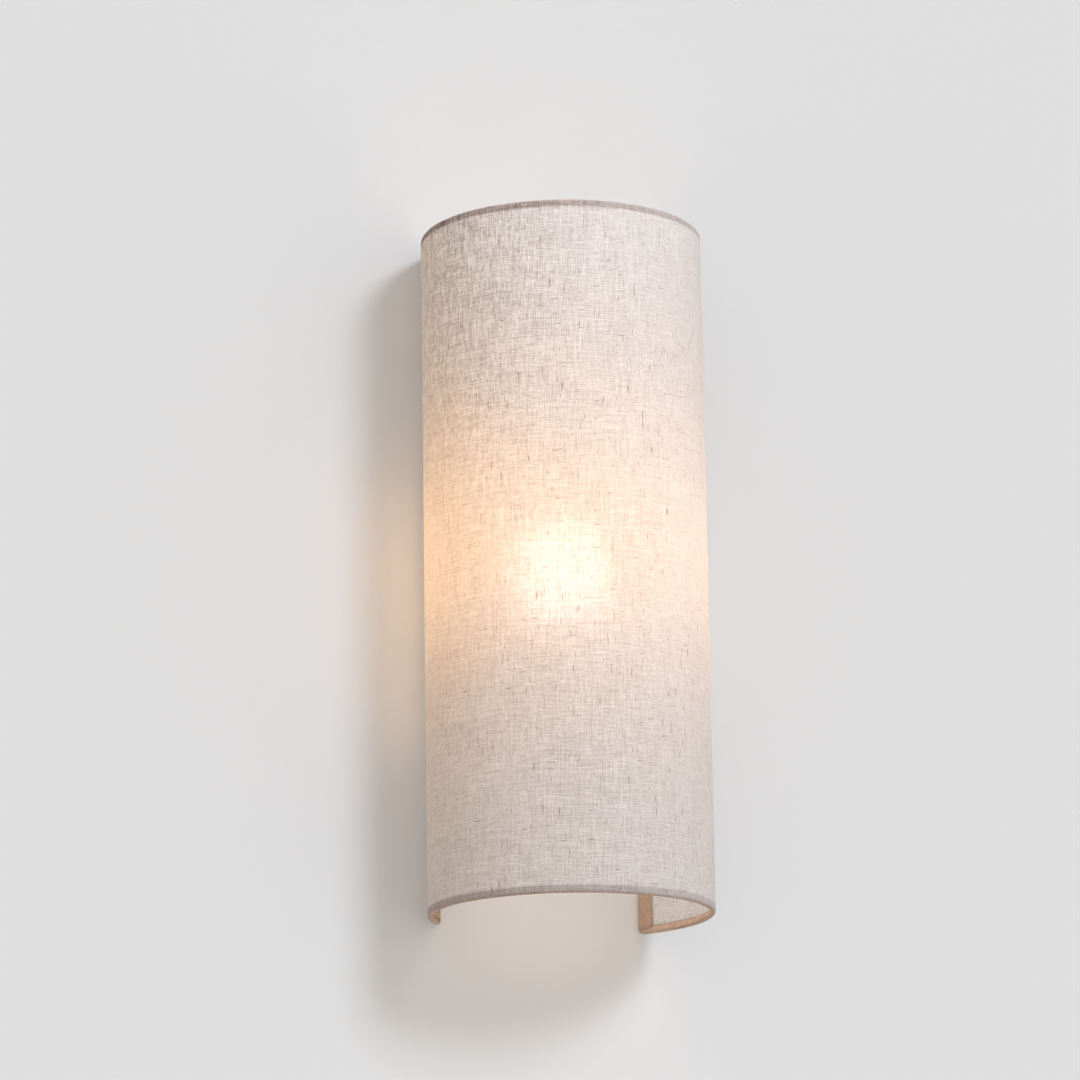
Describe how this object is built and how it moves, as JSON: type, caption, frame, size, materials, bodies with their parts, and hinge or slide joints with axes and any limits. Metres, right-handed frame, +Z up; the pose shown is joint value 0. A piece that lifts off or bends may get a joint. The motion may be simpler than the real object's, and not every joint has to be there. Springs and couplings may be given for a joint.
{
  "type": "fabric shade wall light",
  "caption": "Tall linen shade, a drum cut off by the wall, that lifts off a steel back pan carrying one upright screw-in lamp.",
  "frame": {"origin": "centre of the wall strap's back face, on the wall", "axes": "+Y into the wall, -Y out into the room, +Z up, +X to the right of someone facing the wall"},
  "size_m": [0.18, 0.1471, 0.44],
  "materials": {
    "linen": "woven linen, slubbed",
    "clear_film": "thin translucent film",
    "white_frame": "white epoxy powder",
    "white_steel": "white textured powder coat",
    "zinc_steel": "bright zinc plate",
    "nickel": "satin nickel plate",
    "brass": "bare brass",
    "tinned_copper": "tin plate",
    "holder_plastic": "moulded, fine matt",
    "ceramic": "fired, unglazed",
    "block_nylon": "moulded nylon",
    "grommet_rubber": "soft rubber",
    "brown_insulation": "silicone",
    "blue_insulation": "silicone",
    "earth_insulation": "green with a yellow stripe",
    "lamp_plastic": "moulded, satin",
    "opal_dome": "opal diffuser",
    "black_glass": "black glass",
    "led_board": "white lacquered board"
  },
  "bodies": {
    "fixture": {"wall_strap": "zinc_steel", "back_plate": "white_steel", "side_screws": "zinc_steel", "shade_studs": "zinc_steel", "lamp_arm": "white_steel", "arm_screws": "zinc_steel", "arm_nuts": "zinc_steel", "nipple": "zinc_steel", "lock_washer": "zinc_steel", "lock_nut": "zinc_steel", "holder_cap": "holder_plastic", "holder_sleeve": "holder_plastic", "holder_insert": "ceramic", "screw_shell": "brass", "centre_contact": "brass", "terminal_block": "block_nylon", "terminal_tubes": "brass", "terminal_screws": "zinc_steel", "block_screw": "zinc_steel", "grommet": "grommet_rubber", "live_lead": "brown_insulation", "neutral_lead": "blue_insulation", "earth_terminal": "tinned_copper", "earth_screw": "zinc_steel", "earth_lead": "earth_insulation"},
    "shade": {"shade_fabric": "linen", "shade_film": "clear_film", "top_ring": "white_frame", "bottom_ring": "white_frame", "left_upright": "white_frame", "right_upright": "white_frame", "upper_crossbar": "white_frame", "lower_crossbar": "white_frame"},
    "upper_nut": {"upper_thumb_nut": "nickel"},
    "lower_nut": {"lower_thumb_nut": "nickel"},
    "lamp": {"lamp_contact": "brass", "lamp_insulator": "black_glass", "lamp_cap": "nickel", "lamp_housing": "lamp_plastic", "led_plate": "led_board", "lamp_globe": "opal_dome"}
  },
  "joints": [
    {"name": "shade_pull_off", "type": "slide", "parent": "fixture", "child": "shade", "axis": [0, -1, 0], "range_m": [0, 0.12]},
    {"name": "upper_nut_turn", "type": "hinge", "parent": "shade", "child": "upper_nut", "pos_m": [0, -0.02, 0.11], "axis": [0, -1, 0], "continuous": true},
    {"name": "lower_nut_turn", "type": "hinge", "parent": "shade", "child": "lower_nut", "pos_m": [0, -0.02, -0.11], "axis": [0, -1, 0], "continuous": true},
    {"name": "lamp_unscrew", "type": "slide", "parent": "fixture", "child": "lamp", "axis": [0, 0, 1], "range_m": [0, 0.025]}
  ]
}
